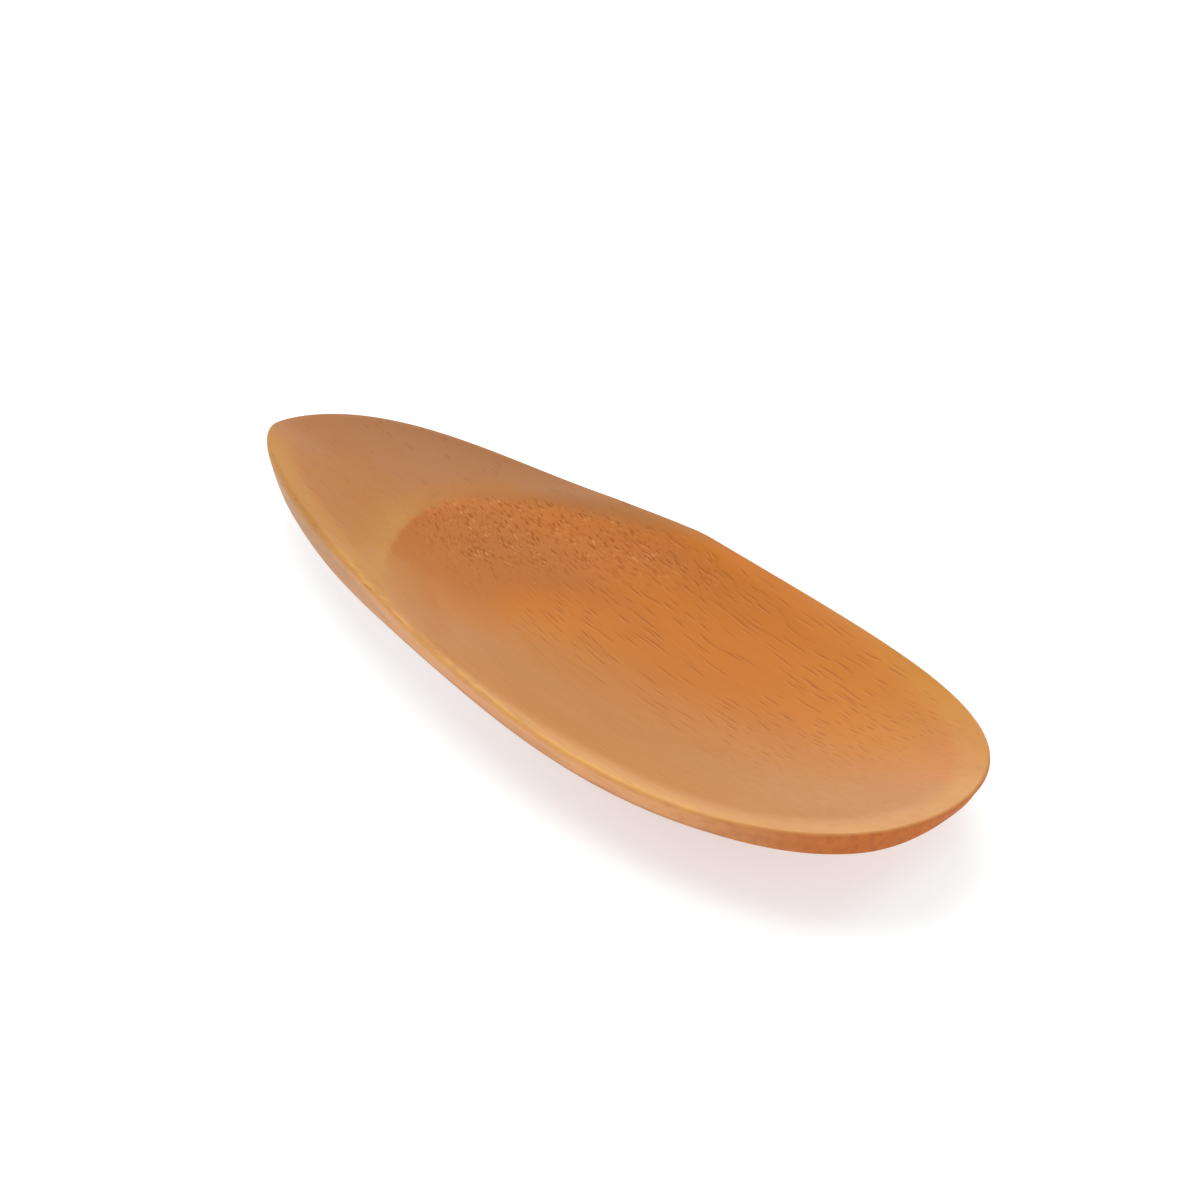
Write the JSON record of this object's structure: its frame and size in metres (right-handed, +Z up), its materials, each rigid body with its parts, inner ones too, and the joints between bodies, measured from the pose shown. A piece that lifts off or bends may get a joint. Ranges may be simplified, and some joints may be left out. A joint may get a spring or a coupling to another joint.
{
  "type": "scoop",
  "caption": "Leaf-shaped bamboo scoop carved in one piece, with a shallow bowl, a raised rounded lip and a short pointed tail to hold it by.",
  "frame": {"origin": "on the ground under the middle of the scoop's length and width, below the bowl", "axes": "+X from the tail to the lip, +Y to the left of that, +Z up out of the bowl"},
  "size_m": [0.1, 0.0372, 0.0112],
  "materials": {
    "bamboo": "satin, thin clear coat over carbonised bamboo"
  },
  "bodies": {
    "root": {"scoop": "bamboo"}
  },
  "joints": []
}
